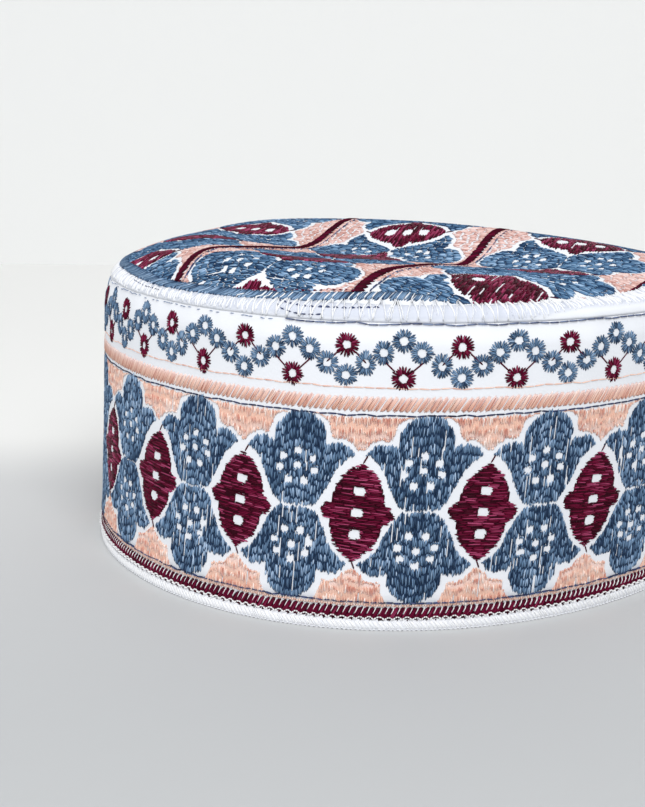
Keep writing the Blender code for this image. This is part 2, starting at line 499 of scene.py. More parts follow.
def build_threads(name, threads, place, material, tapers=TAPERS, inner=0):
    """One mesh of closed threads laid on a face. Their tips go into the cloth.

    tapers are the lengths over which a thread narrows at its start and at its end, and inner
    is the number of rings between them, so that it can follow a curved face."""
    start, end, width, rise, tone = threads.merged()
    along = end - start
    length = np.linalg.norm(along, axis=1)
    side = columns(-along[:, 1], along[:, 0]) * (width / length / 2)[:, None]
    near, far = (np.minimum(taper / length, LONGEST_TAPER) for taper in tapers)
    shares = np.linspace(near, 1 - far, inner + 2)
    flat = [start]
    lift = [THREAD_SINK]
    reach = [0.0]
    edge = [0.0]
    for share in shares:
        centre = start + along * share[:, None]
        flat += [centre + side, centre - side, centre]
        lift += [THREAD_FOOT, THREAD_FOOT, rise]
        reach += [share] * 3
        edge += [1.0, 1.0, 0.0]
    flat = np.stack([*flat, end], axis=1).reshape(-1, 2)
    points = lifted(place, *flat.T, columns(*lift, THREAD_SINK).ravel())
    mesh = mesh_from_arrays(name, points, thread_triangles(len(start), len(shares)))
    add_values(mesh, "tone", np.repeat(tone, len(edge) + 1))
    add_values(mesh, "reach", columns(*reach, 1.0).ravel())
    add_values(mesh, "edge", np.tile([*edge, 0.0], len(start)))
    add_flat_map(mesh, "OFBake", flat)
    finish_piece(name, mesh, material)


def patch_tone(u, v):
    """Broad changes of tone where the thread lies in another light."""
    return 0.07 * np.sin(u / 3.1 + 1.3 * np.sin(v / 4.7)) + 0.06 * np.sin(v / 2.3 + 1.7 * np.sin(u / 6.1))


def thread_rows(rng, line, top, foot, row, joint_spread, gap_share, stagger=0.0, wave=1.0,
                overlap=JOINT_OVERLAP):
    """Threads in rows: each line runs from top down to foot, split at joints that wave.

    It returns the line, upper end, lower end and parity of each stitch. Neighbouring lines
    share needle holes in pairs."""
    count = len(line)
    rows = int(np.ceil((top - foot).max() / row)) + 2
    pair = np.arange(count + 1) // 2
    edge_spread = rng.uniform(-0.3, 0.35, (2, len(pair)))
    top = (top + edge_spread[0][pair[:count]])[:, None]
    foot = (foot - edge_spread[1][pair[1:]])[:, None]
    waves = 0.14 * np.where(np.arange(count) % 2, 1, -1)[:, None]
    for height, length in ((0.34, 0.95), (0.22, 0.41)):
        waves = waves + height * np.sin(line[:, None] / length + rng.uniform(0, FULL_TURN, rows + 1))
    joints = top - np.arange(rows + 1) * row + wave * waves + rng.normal(0, joint_spread, (count, rows + 1))
    joints += stagger * row * rng.random(count)[:, None]
    joints = np.where(joints > top - SHORTEST, top, joints)
    joints = np.where(joints < foot + SHORTEST, foot - 1, joints)
    joints[:, 0] = joints[:, 0].max() + 1
    upper = np.minimum(joints[:, :-1] + overlap, top)
    lower = np.maximum(joints[:, 1:] - overlap, foot)
    kept = upper - lower > overlap + 0.12
    gaps = rng.random(kept.shape) < gap_share
    gaps[:, 1:] |= gaps[:, :-1] & (rng.random(gaps[:, 1:].shape) < 0.5)
    kept &= ~gaps
    lines = np.nonzero(kept)[0]
    return line[lines], upper[kept], lower[kept], lines % 2


def cut_holes(rng, line, upper, lower, parity, holes, half_line, half_run):
    """Stitches cut where they meet a round hole. holes are (line, run) middles."""
    for hole_line, hole_run in holes:
        off = line - hole_line
        half = half_run * np.sqrt(np.maximum(1 - 0.75 * (off / half_line) ** 2, 0.1))
        top = hole_run + half + rng.uniform(-0.25, 0.2, len(line))
        foot = hole_run - half + rng.uniform(-0.2, 0.25, len(line))
        met = (np.abs(off) < half_line) & (upper > foot) & (lower < top)
        above = met & (upper > top + 0.3)
        below = met & (lower < foot - 0.3)
        line, parity = (np.concatenate([value[~met], value[above], value[below]]) for value in (line, parity))
        upper, lower = (np.concatenate([upper[~met], upper[above], foot[below]]),
                        np.concatenate([lower[~met], top[above], lower[below]]))
    return line, upper, lower, parity


def joined_runs(line, upper, lower):
    """Runs of stitches that follow each other on one line: its place, upper and lower end."""
    order = np.lexsort((-upper, line))
    line, upper, lower = line[order], upper[order], lower[order]
    first = np.ones(len(line), bool)
    first[1:] = (line[1:] != line[:-1]) | (upper[1:] < lower[:-1] - 0.3)
    return line[first], upper[first], lower[np.append(first[1:], True)]


def flower_top(x):
    """Upper edge of a flower above the neck."""
    reach = np.abs(x)
    dome = DOME_CENTRE + np.sqrt(np.maximum(DOME_RADIUS ** 2 - reach ** 2, 0))
    return np.where(reach < DOME_RADIUS, dome, np.interp(reach, *np.array(FLOWER_LOBE).T))


def flower_stitches(rng, dot=FLOWER_DOT, gap_share=0.034, dots=FLOWER_DOTS, foot_share=1.0):
    """One flower above its neck. foot_share moves its underside towards the neck."""
    reach = FLOWER_LOBE[-1][0] - 0.15
    line = np.arange(-reach, reach + 0.01, THREAD_PITCH)
    top = flower_top(line) + rng.uniform(-0.3, 0.25, len(line))
    foot = np.interp(np.abs(line), *np.array(FLOWER_UNDERSIDE).T) * foot_share
    foot += rng.uniform(-0.1, 0.3, len(line))
    return cut_holes(rng, *thread_rows(rng, line, top, foot, ROW, 0.12, gap_share, overlap=0.2), dots, *dot)


def peach_stitches(rng, edge, top, pitch):
    """Peach ground between two flowers, from the middle of the left one."""
    first = edge[0][0]
    line = np.arange(first, pitch - first, THREAD_PITCH)
    foot = np.interp(np.minimum(line, pitch - line), *np.array(edge).T)
    return thread_rows(rng, line, top, foot, PEACH_ROW, 0.06, 0.012, wave=1.3, overlap=PEACH_OVERLAP)


def almond_half(line):
    """Half width of an almond at heights above its middle, with its nose."""
    half = ALMOND_WIDTH * np.maximum(1 - (np.abs(line) / ALMOND_HALF) ** 3.2, 0) ** 0.95
    nose = 1 - (np.abs(line) / ALMOND_NOSE_HALF) ** 2
    return half + ALMOND_NOSE * np.maximum(nose, 0) ** 0.6


def almond_stitches(rng, far, near, row, dots, dot):
    """One almond: lines at heights above its middle, with the ends of their threads."""
    line = np.arange(-ALMOND_HALF + 0.3, ALMOND_HALF - 0.2, THREAD_PITCH)
    half = almond_half(line)
    half = half + rng.uniform(-0.45, 0.4, len(line)) * np.clip(half / 2.5, 0.1, 1)
    stitches = thread_rows(rng, line, half * far, -half * near, row, 0.3, 0.014, 1.0)
    return cut_holes(rng, *stitches, dots, dot[1], dot[0])


def almond_underlay(rng, dots, dot):
    """Upright threads that fill an almond under its stitches: place, upper and lower end."""
    widest = ALMOND_WIDTH + ALMOND_NOSE - 0.5
    place = np.arange(-widest, widest, 0.52)
    level = np.linspace(0, ALMOND_HALF, 200)
    reach = np.interp(np.abs(place), almond_half(level)[::-1], level[::-1]) - 0.4
    place, reach = place[reach > 0.4], reach[reach > 0.4]
    holes = [(run, line) for line, run in dots]
    parity = np.zeros(len(place), int)
    return cut_holes(rng, place, reach, -reach, parity, holes, dot[0] + 0.15, dot[1] + 0.15)[:3]


def add_columns(rng, threads, stitches, middle, flip, moved, width=THREAD_WIDTH, underlay=UNDERLAY_SHADE_TONE):
    """Adds threads that run across the pattern, moved on to their place.

    flip is -1 for the flowers below the neck, and underlay the tone of the threads beneath."""
    line, upper, lower, parity = stitches
    count = len(line)
    if underlay is not None:
        # Underlay threads; at the default tone they are darkest, painted shade in the gaps between stitches
        run_line, run_upper, run_lower = joined_runs(line, upper, lower)
        start = columns(run_line, (run_upper - 0.5) * flip) + middle
        end = columns(run_line, (run_lower + 0.4) * flip) + middle
        threads.add(moved(start), moved(end), UNDERLAY_WIDTH, UNDERLAY_RISE, underlay)
    lean = ZIGZAG * (1 - 2 * parity)
    start = columns(line + lean, upper * flip) + middle
    end = columns(line - lean, lower * flip) + middle
    if flip < 0:
        start, end = end, start
    turn = rng.normal(0, 0.03, count)
    shift = rng.normal(0, 0.03, count)
    start[:, 0] += shift - turn
    end[:, 0] += shift + turn
    width = width * rng.uniform(0.88, 1.12, count)
    tone = 0.5 + rng.normal(0, 0.26, count) + patch_tone(line + middle[0] * 1.7, upper + middle[1])
    threads.add(moved(start), moved(end), width, THREAD_RISE * rng.uniform(0.8, 1.2, count), tone)


def add_almond(rng, threads, middle, moved, far=1.0, near=1.0, row=3.6, dots=ALMOND_DOTS,
               dot=ALMOND_DOT, width=THREAD_WIDTH, underlay=True):
    """Adds an almond, whose threads run along the pattern and fall a little to one side.

    far and near are its two sides as shares of their full width."""
    def placed(along, across):
        """Points of the almond, whose top leans to the right, in their place."""
        return moved(columns(along + across * math.tan(ALMOND_LEAN), across) + middle)

    line, upper, lower, parity = almond_stitches(rng, far, near, row, dots, dot)
    fall = math.tan(ALMOND_TILT)
    if underlay:
        # Underlay threads in the darkest tone, painted shade between the stitches
        place, high, low = almond_underlay(rng, dots, dot)
        threads.add(placed(place, high - place * fall), placed(place, low - place * fall),
                    UNDERLAY_WIDTH, UNDERLAY_RISE, UNDERLAY_SHADE_TONE)
    lean = ZIGZAG * (1 - 2 * parity)
    tone = 0.5 + rng.normal(0, 0.3, len(line)) + patch_tone(line + middle[0], upper)
    width = width * rng.uniform(0.9, 1.1, len(line))
    threads.add(placed(upper, line + lean - upper * fall), placed(lower, line - lean - lower * fall),
                width, THREAD_RISE, tone)
    tips = np.array([1, -1])
    threads.add(placed(0.0, tips * (ALMOND_HALF - 0.5)), placed(1.2, tips * (ALMOND_HALF + 2.0)),
                0.42, 0.25, 0.25)


def sheared(points):
    """The rows of flowers and almonds lean a little, their tops to the right."""
    shift = SHEAR * (points[:, 1] - SHEAR_LEVEL) + looked_up(DRIFT, points[:, 0])
    return points + columns(shift, 0.0)


def unmoved(points):
    """The band's pattern is where it is built."""
    return points


def strip_place(points):
    """Places along and across the crown's strips as its x and y, and the other way round."""
    return points @ STRIP_AXES


def thread_offsets(count):
    """Places of a group's threads, as shares of its width from its middle."""
    return (np.arange(count) + 0.5) / count - 0.5


def add_satin(rng, threads, levels, slant, group, per_group, pinches, looks, span=ROUND, moved=unmoved):
    """Slanted satin: threads in groups that draw together at their ends.

    levels are where the threads start and end, group is the length of a group, pinches are its
    shares of that length at each end, and looks are the threads' width, rise and tone."""
    width, rise, tone = looks
    groups = round((span[1] - span[0]) / group)
    spacing = (span[1] - span[0]) / groups
    middle = span[0] + spacing * (np.arange(groups) + 0.5)
    middle = np.repeat(middle + rng.normal(0, 0.06, groups), per_group)
    offset = np.tile(thread_offsets(per_group), groups) * spacing
    count = groups * per_group
    bow = np.abs(offset) / spacing * 0.8
    start = columns(middle + offset * pinches[0], levels[0] + rng.normal(0, 0.1, count) + bow)
    end = columns(middle + offset * pinches[1] + slant, levels[1] + rng.normal(0, 0.12, count) - bow)
    tone = tone + rng.normal(0, 0.17, count)
    threads.add(moved(start), moved(end), width * rng.uniform(0.95, 1.15, count), rise, tone)


def add_running_line(rng, threads, level, step, looks, span=ROUND, moved=unmoved, gaps=0.0):
    """Running stitch: a line of short threads with needle holes between them, some left out."""
    width, rise, tone = looks
    count = round((span[1] - span[0]) / step)
    ends = np.linspace(*span, count + 1)
    heights = level + rng.normal(0, 0.13, count + 1)
    start = columns(ends[:-1] - 0.3, heights[:-1])
    end = columns(ends[1:] + 0.3, heights[1:])
    shades = tone + rng.normal(0, 0.1, count)
    kept = rng.random(count) >= gaps
    threads.add(moved(start[kept]), moved(end[kept]), width, rise, shades[kept])


def add_ring(rng, threads, middle, inner, outer, spikes):
    """Eyelet: short threads set round a small hole."""
    angle = FULL_TURN * (np.arange(spikes) + rng.uniform(-0.25, 0.25, spikes)) / spikes + rng.uniform(0, 1)
    squash = 1 + rng.normal(0, 0.05)
    ray = columns(np.cos(angle) * squash, np.sin(angle) / squash)
    near = (inner + rng.uniform(-0.15, 0.12, spikes))[:, None]
    far = (outer + rng.uniform(-0.25, 0.2, spikes))[:, None]
    width = outer * 1.3 * math.pi / spikes
    # Painted light: the threads on the ring's upper side are lighter, those below darker
    tone = 0.5 + rng.normal(0, 0.15, spikes) + 0.1 * ray[:, 1]
    threads.add(middle + ray * near, middle + ray * far, width, 0.34, tone)


def band_flowers(rng, threads, quarter):
    """Blue flowers of a quarter of the band, above and below their necks."""
    for index in range(FLOWERS):
        if index * 4 // FLOWERS == quarter:
            middle = (FIRST_FLOWER + FLOWER_PITCH * index, NECK)
            for flip in (1, -1):
                add_columns(rng, threads, flower_stitches(rng), middle, flip, sheared)


def band_almonds(rng, threads):
    """Burgundy almonds between the flowers."""
    for index in range(FLOWERS):
        middle = FIRST_FLOWER + FLOWER_PITCH * (index + 0.5) + ALMOND_SHIFT
        add_almond(rng, threads, (middle, ALMOND_CENTRE), sheared)


def band_peach_ground(rng, threads):
    """Peach ground above and below the flowers, two satin bands and the line over them."""
    for index in range(FLOWERS):
        middle = (FIRST_FLOWER + FLOWER_PITCH * index, NECK)
        for edge, top, flip in ((UPPER_PEACH, UPPER_PEACH_TOP, 1), (LOWER_PEACH, LOWER_PEACH_TOP, -1)):
            stitches = peach_stitches(rng, edge, top, FLOWER_PITCH)
            add_columns(rng, threads, stitches, middle, flip, sheared, PEACH_WIDTH, 0.5)
    add_satin(rng, threads, LOWER_SATIN, 0.1, 1.9, 3, (1.0, 1.0), (0.66, 0.2, 0.6))
    add_satin(rng, threads, UPPER_SATIN, 2.4, 1.48, 6, (0.74, 0.74), (0.31, 0.34, 0.42))
    add_running_line(rng, threads, PEACH_LINE, 2.6, (0.34, 0.26, 0.5))


def band_rope(rng, threads):
    """Burgundy rope round the band's foot, on a broad line, with dots of painted shade between the hem's
    loops.
    """
    add_satin(rng, threads, ROPE, 1.9, GIRTH / ROPE_GROUPS, 4, (0.95, 0.56), (0.5, 0.42, 0.38))
    left, right = loop_ends(UPPER_LOOP)
    u = left + (right - left) * 0.55 + rng.normal(0, 0.12, len(left))
    size = rng.uniform(0.5, 1.1, len(u))
    start = columns(u - 0.12, UPPER_LOOP_FOOT - 0.26 * size)
    end = columns(u + 0.12, UPPER_LOOP_FOOT + 0.26 * size)
    # Darkest burgundy dots: painted shade in the pits where the loops wrap round the rope
    threads.add(start, end, 0.46 * size, 0.6, -0.2)
    add_running_line(rng, threads, 3.75, 2.0, (1.5, 0.3, 0.3))


def band_lines(rng, threads):
    """Navy running lines round the band, the top one finer and broken at the left, and marks over it."""
    add_running_line(rng, threads, LOWER_NAVY_LINE, 1.95, (0.46, 0.6, 0.45))
    add_running_line(rng, threads, UPPER_NAVY_LINE, 2.4, (0.42, 0.3, 0.4))
    add_running_line(rng, threads, TOP_LINE, 2.6, (0.34, 0.4, 0.75), (-28, 400))
    add_running_line(rng, threads, TOP_LINE - 0.2, 1.2, (0.24, 0.2, 1.2), (400, GIRTH - 28), gaps=0.5)
    for mark in SEAM_MARKS:
        add_mark(rng, threads, mark)


def add_mark(rng, threads, mark):
    """Thin dashed thread along a line of places."""
    places = np.array(mark).T
    length = np.concatenate([[0.0], np.cumsum(np.hypot(*np.diff(places)))])
    reach = np.arange(0, length[-1] - 1.6, 2.0)
    ends = []
    for extra in (0.0, 1.8):
        share = reach + extra + rng.normal(0, 0.1, len(reach))
        ends.append(columns(*[np.interp(share, length, values) for values in places]))
    threads.add(*ends, 0.38, 0.55, 0.6)


def blue_rings(rng, threads):
    """Chain of blue eyelets that waves round the band."""
    for index in range(RING_REPEATS):
        low_ring = FIRST_RING + RING_PITCH * (index + 0.5)
        low_ring += looked_up(DRIFT, low_ring, 2)
        for step, height in RING_CHAIN:
            middle = (low_ring + step * RING_PITCH / 6, height) + rng.normal(0, 0.15, 2)
            add_ring(rng, threads, middle, 0.98, 3.05, 24)


def burgundy_rings(rng, threads):
    """Burgundy eyelets above and below the chain, with the threads that lead to them."""
    for index in range(RING_REPEATS):
        for later, v, way in ((0.0, UPPER_RING, -1), (0.5, LOWER_RING, 1)):
            u = FIRST_RING + RING_PITCH * (index + later)
            middle = (u + looked_up(DRIFT, u, 2), v) + rng.normal(0, 0.12, 2)
            add_ring(rng, threads, middle, 0.95, 3.15, 25)
            for side in (1, -1):
                start = middle + (side * 2.0, way * 1.6)
                end = middle + (side * (5.0 + rng.uniform(-0.3, 0.3)), way * 4.5)
                threads.add([start], [end], 0.4, 0.2, 0.35)


def loop_ends(step):
    """Where the loops of the overlock begin and end round the cap."""
    count = round(GIRTH / step)
    rng = np.random.default_rng(SEED + count)
    left = GIRTH / count * (np.arange(count) + rng.normal(0, 0.07, count))
    return left, np.append(left[1:], left[0] + GIRTH)


def scallop_line(rng, threads, level, height, step, looks):
    """Loops of overlock thread: arcs of four short threads each."""
    width, rise, tone = looks
    left, right = loop_ends(step)
    tall = height * rng.uniform(0.8, 1.2, len(left))
    points = [columns(left + (right - left) * share, level + tall * math.sin(math.pi * share))
              for share in np.linspace(0, 1, 5)]
    for start, end in zip(points, points[1:]):
        reach = (end - start) * 0.3
        threads.add(start - reach, end + reach, width, rise, tone + rng.normal(0, 0.05, len(left)))


def hem_overlock(rng, threads):
    """White overlock of the hem, and the white that shows between the rope's groups."""
    left, right = loop_ends(LOWER_LOOP)
    u = np.repeat((left + right) / 2, 2) + np.tile([-0.18, 0.18], len(left))
    count = len(u)
    start = columns(u - 0.9, 2.9 + rng.normal(0, 0.1, count))
    end = columns(u + 0.9 + rng.normal(0, 0.1, count), 0.3)
    threads.add(start, end, 0.44, 0.26, 0.95 + rng.normal(0, 0.1, count))
    scallop_line(rng, threads, UPPER_LOOP_FOOT, 0.8, UPPER_LOOP, (0.55, 0.95, 1.1))
    scallop_line(rng, threads, 0.7, -0.45, LOWER_LOOP, (0.36, 0.36, 0.8))
    u = GIRTH / ROPE_GROUPS * np.arange(ROPE_GROUPS)
    threads.add(columns(u + 0.75, 4.1), columns(u + 1.8, 6.3), 0.38, 0.46, 1.3)


def seam_overlock(rng, threads):
    """White thread over the rolled seam: a zigzag and, between it, finer upright threads."""
    u = np.arange(0, GIRTH, 3.1)
    count = len(u)
    u = u + rng.normal(0, 0.3, count)
    open_share = looked_up(ZIGZAG_OPEN, u)
    for way in (1, -1):
        foot = looked_up(OVERLOCK_FOOT, u) + rng.uniform(-0.1, 0.8, count)
        top = rim_start(rim_turn(u)) + rng.uniform(-0.1, 0.9, count)
        start = columns(u + way * (0.7 + 0.9 * open_share), foot)
        end = columns(u + way * rng.uniform(0.0, 0.35, count), top)
        threads.add(start, end, 0.34, 0.35 + 0.4 * open_share, 1.0 + rng.normal(0, 0.05, count))
    u = np.arange(0, GIRTH, 0.62)
    u = u + rng.normal(0, 0.12, len(u))
    u = u[rng.random(len(u)) > 0.85 * looked_up(ZIGZAG_OPEN, u)]
    count = len(u)
    lowest = looked_up(OVERLOCK_FOOT, u)
    highest = rim_start(rim_turn(u))
    foot = lowest + (highest - lowest) * rng.uniform(0, 0.35, count)
    top = highest - (highest - lowest) * rng.uniform(0, 0.25, count) + 0.3
    lean = rng.choice([-1, 1], count) * rng.uniform(0.1, 0.8, count)
    looks = [rng.uniform(*ends, count) for ends in ((0.24, 0.34), (0.15, 0.32), (0.35, 0.9))]
    threads.add(columns(u - lean, foot), columns(u + lean, top), *looks)


def rim_turn(u):
    """Direction of a place on the crown's edge."""
    return turn_at(u, CROWN_EDGE)


def rim_start(turn):
    """v at which the crown's embroidery begins."""
    return CROWN_START + looked_up(CROWN_RIM, np.degrees(turn), 1, 360)


def border_width(turn):
    """Width of the crown's blue border, which ends a little right of the front."""
    return BORDER_WIDTH * looked_up(CROWN_RIM, np.degrees(turn), 2, 360)


def crown_border(rng, threads):
    """Blue satin border round the crown, in groups that stand apart at the front."""
    centre = BORDER_GROUP * np.arange(BORDER_GROUPS) + rng.normal(0, 0.1, BORDER_GROUPS)
    apart = (np.degrees(rim_turn(centre)) % 360 > BORDER_APART) & (rng.random(BORDER_GROUPS) < 0.75)
    middle = np.repeat(centre, BORDER_THREADS)
    pinch = np.repeat(np.where(apart, 0.72, 0.98), BORDER_THREADS)
    offset = np.tile(thread_offsets(BORDER_THREADS), BORDER_GROUPS) * BORDER_GROUP
    count = len(middle)
    turn = rim_turn(middle)
    width = border_width(turn)
    kept = width > 1.0
    foot = rim_start(turn) + np.abs(offset) * 0.4 + rng.uniform(-0.35, 0.35, count)
    top = rim_start(turn) + width + rng.normal(0, 0.1, count)
    start = columns(middle + offset * pinch, foot)
    end = columns(middle + offset * pinch + width * 0.5, top)
    tone = 0.5 + rng.normal(0, 0.24, count)
    threads.add(start[kept], end[kept], THREAD_WIDTH * 1.05, THREAD_RISE * 1.2, tone[kept])


def border_overlock(rng, threads):
    """White threads that lie over the blue border at the front."""
    u = BORDER_GROUP * (np.arange(BORDER_GROUPS) + 0.5) + rng.normal(0, 0.15, BORDER_GROUPS)
    turn = rim_turn(u)
    width = border_width(turn)
    off_middle = np.abs(np.degrees(turn) % 360 - CROSSED_MIDDLE)
    kept = (width > 2.6) & (off_middle < CROSSED_HALF) & (rng.random(BORDER_GROUPS) < 0.85)
    foot = rim_start(turn) + width * rng.uniform(0.0, 0.3, BORDER_GROUPS)
    top = rim_start(turn) + width * rng.uniform(0.75, 1.05, BORDER_GROUPS)
    start = columns(u + 0.1, foot)
    end = columns(u + (top - foot) * 0.55, top)
    threads.add(start[kept], end[kept], 0.3, 0.6, 1.0)


def border_line(rng, threads):
    """Thin dashed line along the border's inner edge at the front left."""
    turns = np.radians(np.arange(BORDER_APART, 264.0, 1.1))
    radius = crown_edge(turns) - (rim_start(turns) - CROWN_START + border_width(turns) + 0.35)
    places = columns(radius * np.cos(turns), radius * np.sin(turns))
    threads.add(places[:-1], places[1:] + rng.normal(0, 0.1, (len(turns) - 1, 2)), 0.4, 0.4, 0.4)


def crown_limit(points):
    """How far points lie inside the crown's pattern, towards its middle."""
    turn = np.arctan2(points[:, 1], points[:, 0])
    covered = rim_start(turn) - CROWN_START + border_width(turn)
    return crown_edge(turn) - np.maximum(covered - 0.6, 0.2) - np.linalg.norm(points, axis=1)


def trim(threads):
    """Cuts threads at the edge of the crown's pattern."""
    start, end, *looks = threads.merged()
    inside_start = crown_limit(start)
    inside_end = crown_limit(end)
    share = np.clip(inside_start / np.where(inside_start == inside_end, 1, inside_start - inside_end), 0, 1)
    cut = start + (end - start) * share[:, None]
    start = np.where((inside_start < 0)[:, None], cut, start)
    end = np.where((inside_end < 0)[:, None], cut, end)
    threads.parts = [(start, end, *looks)]
    threads.keep((np.maximum(inside_start, inside_end) > 0) & (np.linalg.norm(end - start, axis=1) > 0.4))


def keep_clear(threads, middle, far, near):
    """Leaves out the threads that come too near a wide almond."""
    start, end = threads.merged()[:2]
    along, across = (strip_place((start + end) / 2) - middle).T
    half = almond_half(across / 1.08)
    inside = (half > 0) & (along < half * far + ALMOND_MARGIN) & (along > -half * near - ALMOND_MARGIN)
    threads.keep(~inside)


def crown_strips(rng):
    """Flowers, peach ground, almonds and lines of the crown's strips."""
    blue, peach, burgundy, navy = (Threads() for _ in range(4))
    wide = []
    for strip in range(-1, ROPES):
        rope = FIRST_ROPE + STRIP_PITCH * strip
        neck = rope + STRIP_PITCH / 2
        for index in range(-1, 7):
            almond = FIRST_ALMOND + STRIP_REPEAT * index
            flower = almond + STRIP_REPEAT / 2
            if math.hypot(flower, neck) < FLOWER_REACH:
                dots = [] if (strip, index) == PLAIN_FLOWER else FLOWER_DOTS
                foot_share = DEEP_SHARE if (strip, index) in DEEP_FLOWERS else 1.0
                for flip in (1, -1):
                    stitches = flower_stitches(rng, CROWN_FLOWER_DOT, 0.012, dots, foot_share)
                    add_columns(rng, blue, stitches, (flower, neck), flip, strip_place, CROWN_WIDTH, None)
                    ground = peach_stitches(rng, CROWN_PEACH, CROWN_PEACH_TOP, STRIP_REPEAT)
                    add_columns(rng, peach, ground, (flower, neck), flip, strip_place, CROWN_WIDTH, None)
            if math.hypot(almond, neck) < ALMOND_REACH:
                shift, far, near, dots = CROWN_ALMONDS.get((strip, index), (0.0, 1.0, 1.0, ALMOND_DOTS))
                middle = (almond + shift, neck)
                add_almond(rng, burgundy, middle, strip_place, far, near, 3.4, dots, CROWN_ALMOND_DOT,
                           CROWN_WIDTH, False)
                if far > 1 or near > 1:
                    wide.append((middle, far, near))
        add_satin(rng, burgundy, (rope - 1.8, rope + 1.8), 1.6, 1.7, 4, (0.95, 0.4), (0.44, 0.55, 0.25),
                  STRIP_SPAN, strip_place)
        add_running_line(rng, navy, rope + 2.9, 2.4, (0.36, 0.46, 0.6), STRIP_SPAN, strip_place)
    for almond in wide:
        keep_clear(blue, *almond)
    return blue, peach, burgundy, navy


def ring_triangles(near, far):
    """Triangles between two rings of points, given by their numbers."""
    after_near = np.roll(near, -1)
    after_far = np.roll(far, -1)
    return np.concatenate([columns(near, after_near, after_far), columns(near, after_far, far)])


def build_tube(name, rows, place_row, material, replaced):
    """Closed tube of cloth: rows of points carried round the cap."""
    points = np.concatenate([place_row(*row) for row in rows])
    rings = np.arange(len(points)).reshape(len(rows), -1)
    triangles = [ring_triangles(*pair) for pair in zip(rings, np.roll(rings, -1, axis=0))]
    mesh = mesh_from_arrays(name, points, np.concatenate(triangles))
    return finish_piece(name, mesh, material, replaced)


def cloth_row(v, depth):
    """Ring of points at v, sunk into the cloth by depth."""
    return lifted(wall_place, CLOTH_U, v, -depth)


def hem_row(v, depth):
    """Ring of points of the hem at v, moved in level by depth."""
    here = wall_place(CLOTH_U, v)
    radius = np.linalg.norm(here[:, :2], axis=1)
    here[:, :2] *= ((radius - depth) / radius)[:, None]
    return here


def build_band_cloth(material):
    """The band's white cloth, outside and inside."""
    levels = np.linspace(3.95, BAND_TOP - 0.05, 13)
    rows = [(v, 0.0) for v in levels] + [(v, CLOTH) for v in levels[::-3]]
    build_tube("band_cloth", rows, cloth_row, material, ["side_band"])


def build_seam_cloth(material):
    """The rolled seam between band and crown, with painted shade under the overlock above its foot."""
    levels = np.linspace(BAND_TOP - 0.3, CROWN_START - GAP, 12)
    rows = [(v, -0.03) for v in levels] + [(v, CLOTH) for v in levels[::-2]]
    piece = build_tube("seam_cloth", rows, cloth_row, material, ["crown_seam"])
    foot = looked_up(OVERLOCK_FOOT, CLOTH_U)
    # Painted shade: one on the outer face above the overlock's foot
    shade = [np.clip((v - foot) / 1.5, 0, 1) * (depth < 0) for v, depth in rows]
    add_values(piece.data, "shade", np.concatenate(shade))


def build_hem_cloth(material):
    """The rolled hem under its overlock."""
    outer = [(v, 0.0) for v in (0.0, 0.4, 1.0, 2.0, 2.8, 3.4, 3.75)]
    inner = [(3.7, CLOTH), (2.8, CLOTH + HEM_BULGE * 2), (1.0, CLOTH + HEM_BULGE * 2), (0.0, CLOTH - 0.3)]
    build_tube("hem_cloth", outer + inner, hem_row, material, ["hem"])


def build_crown_cloth(material):
    """The crown's white cloth, upper and lower face."""
    turns = np.linspace(0, FULL_TURN, CLOTH_STEPS * 3 // 4, endpoint=False)
    edge = crown_edge(turns) + GAP
    upper = np.sin(np.linspace(0.02, 1, CROWN_RINGS) * math.pi / 2)
    lower = np.sin(np.linspace(1, 0.06, CROWN_RINGS // 3) * math.pi / 2)
    points = []
    for share, drop in [(share, 0.0) for share in upper] + [(share, CLOTH) for share in lower]:
        points.append(crown_place(share * edge * np.cos(turns), share * edge * np.sin(turns)) - (0, 0, drop))
    rings = np.arange(len(points) * len(turns)).reshape(len(points), -1)
    triangles = [ring_triangles(*pair)[:, ::-1] for pair in zip(rings, rings[1:])]
    triangles.append(columns(rings.size, rings[0], np.roll(rings[0], -1)))
    triangles.append(columns(rings.size + 1, np.roll(rings[-1], -1), rings[-1]))
    middle = crown_place(0.0, 0.0)
    points.append([middle, middle - (0, 0, CLOTH)])
    mesh = mesh_from_arrays("crown_cloth", np.concatenate(points), np.concatenate(triangles))
    finish_piece("crown_cloth", mesh, material, ["top_panel"])


def shader_tree(name):
    """New material with its Principled shader and node tree."""
    material = bpy.data.materials.new(name)
    material.use_nodes = True
    tree = material.node_tree
    return material, tree, tree.nodes["Principled BSDF"]


def set_inputs(tree, node, values):
    """Sets a node's inputs to numbers and colours, or links them to sockets."""
    for key, value in values.items():
        if isinstance(value, bpy.types.NodeSocket):
            tree.links.new(value, node.inputs[key])
        else:
            node.inputs[key].default_value = value


def add_node(tree, kind, output, values, **settings):
    """Output of a new node."""
    node = tree.nodes.new("ShaderNode" + kind)
    for key, value in settings.items():
        setattr(node, key, value)
    set_inputs(tree, node, values)
    return node.outputs[output]


def math_node(tree, operation, first, second):
    """Math node of two inputs, each a number or a socket."""
    return add_node(tree, "Math", "Value", {0: first, 1: second}, operation=operation)


def mix_node(tree, factor, first, second):
    """Colour between two, each a colour or a socket."""
    return add_node(tree, "Mix", "Result", {"Factor": factor, "A": first, "B": second}, data_type="RGBA")


def attribute_value(tree, name):
    """Value of an attribute of the mesh."""
    return add_node(tree, "Attribute", "Fac", {}, attribute_name=name)


def ramp_color(tree, value, stops, interpolation="LINEAR"):
    """Colour that follows a value through stops, each a place and a colour."""
    node = tree.nodes.new("ShaderNodeValToRGB")
    ramp = node.color_ramp
    ramp.interpolation = interpolation
    while len(ramp.elements) < len(stops):
        ramp.elements.new(0.5)
    for element, (place, color) in zip(ramp.elements, stops):
        element.position = place
        element.color = (*color, 1)
    tree.links.new(value, node.inputs["Fac"])
    return node.outputs["Color"]


